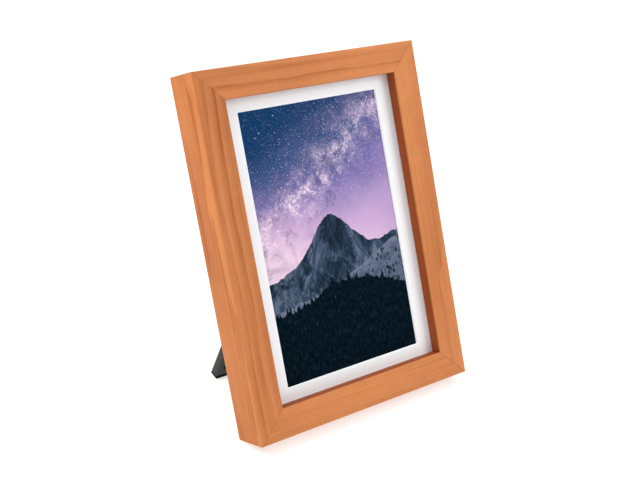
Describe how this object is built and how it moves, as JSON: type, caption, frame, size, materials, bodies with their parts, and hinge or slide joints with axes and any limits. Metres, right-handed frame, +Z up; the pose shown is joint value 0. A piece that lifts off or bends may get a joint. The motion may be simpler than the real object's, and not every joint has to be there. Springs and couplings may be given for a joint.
{
  "type": "digital photo frame",
  "caption": "Tabletop digital photo frame: colour e-paper picture behind a white mat in a mitred wooden frame, leaning on a hinged easel leg.",
  "frame": {"origin": "centre of the overall box at table level, where the frame's rear bottom edge and the leg's foot rest", "axes": "+Z up, -Y towards the viewer, +X to the viewer's right; the picture leans back 17.3 degrees towards +Y"},
  "size_m": [0.1524, 0.1018, 0.2092],
  "materials": {
    "stained_wood": "warm orange-brown stained hardwood, satin",
    "bright_steel": "zinc-plated steel",
    "white_card": "cool white matt mat board",
    "e_paper": "matt colour electronic paper showing a night landscape",
    "black_foam": "black foam",
    "tray_plastic": "light grey moulded plastic",
    "amber_film": "amber film",
    "ivory_plastic": "ivory connector plastic",
    "green_board": "green solder mask",
    "chip_plastic": "black epoxy",
    "ferrite": "dark ferrite",
    "tinned_steel": "tinned steel",
    "battery_foil": "matt aluminium foil",
    "red_insulation": "red wire insulation",
    "black_insulation": "black wire insulation",
    "black_plastic": "black moulded plastic, fine texture",
    "control_plastic": "black moulded plastic, satin",
    "clear_plastic": "clear moulded plastic",
    "black_screw": "black-plated steel",
    "black_rubber": "black rubber"
  },
  "bodies": {
    "case": {"frame_rail_left": "stained_wood", "frame_rail_right": "stained_wood", "frame_rail_bottom": "stained_wood", "frame_rail_top": "stained_wood", "corner_v_nail_bottom_left": "bright_steel", "corner_v_nail_bottom_right": "bright_steel", "corner_v_nail_top_left": "bright_steel", "corner_v_nail_top_right": "bright_steel", "board_screw_1": "bright_steel", "board_screw_2": "bright_steel", "board_screw_3": "bright_steel", "board_screw_4": "bright_steel", "hinge_pin": "bright_steel", "mat_board": "white_card", "display_panel": "e_paper", "panel_foam_pad": "black_foam", "display_tray": "tray_plastic", "display_ribbon": "amber_film", "ribbon_connector": "ivory_plastic", "battery_socket": "ivory_plastic", "battery_plug": "ivory_plastic", "status_led": "ivory_plastic", "control_board": "green_board", "wireless_module": "green_board", "processor_chip": "chip_plastic", "tact_switch_1": "chip_plastic", "tact_switch_2": "chip_plastic", "tact_switch_3": "chip_plastic", "usb_c_tongue": "chip_plastic", "boost_coil": "ferrite", "wireless_shield": "tinned_steel", "usb_c_shell": "tinned_steel", "card_socket": "tinned_steel", "power_switch_body": "tinned_steel", "battery_cell": "battery_foil", "battery_wire_red": "red_insulation", "battery_wire_black": "black_insulation", "rear_cover": "black_plastic", "hinge_bracket": "black_plastic", "light_pipe": "clear_plastic", "cover_screw_1": "black_screw", "cover_screw_2": "black_screw", "cover_screw_3": "black_screw", "cover_screw_4": "black_screw", "cover_screw_5": "black_screw", "cover_screw_6": "black_screw", "bracket_screw_1": "black_screw", "bracket_screw_2": "black_screw", "bracket_screw_3": "black_screw", "bracket_screw_4": "black_screw"},
    "leg": {"easel_leg": "black_plastic", "leg_foot_strip": "black_rubber"},
    "button_left": {"button_1": "control_plastic"},
    "button_middle": {"button_2": "control_plastic"},
    "button_right": {"button_3": "control_plastic"},
    "slider": {"power_slider": "control_plastic"},
    "card": {"memory_card": "chip_plastic"}
  },
  "joints": [
    {"name": "leg_hinge", "type": "hinge", "parent": "case", "child": "leg", "pos_m": [0, 0.01731, 0.11647], "axis": [-1, 0, 0], "range_deg": [0, 32]},
    {"name": "button_left_press", "type": "slide", "parent": "case", "child": "button_left", "axis": [0, -0.9548, 0.2974], "range_m": [0, 0.0006], "stiffness_N_per_m": 800},
    {"name": "button_middle_press", "type": "slide", "parent": "case", "child": "button_middle", "axis": [0, -0.9548, 0.2974], "range_m": [0, 0.0006], "stiffness_N_per_m": 800},
    {"name": "button_right_press", "type": "slide", "parent": "case", "child": "button_right", "axis": [0, -0.9548, 0.2974], "range_m": [0, 0.0006], "stiffness_N_per_m": 800},
    {"name": "power_slide", "type": "slide", "parent": "case", "child": "slider", "axis": [1, 0, 0], "range_m": [0, 0.003]},
    {"name": "card_slide", "type": "slide", "parent": "case", "child": "card", "axis": [0, -0.2974, -0.9548], "range_m": [0, 0.0125]}
  ]
}
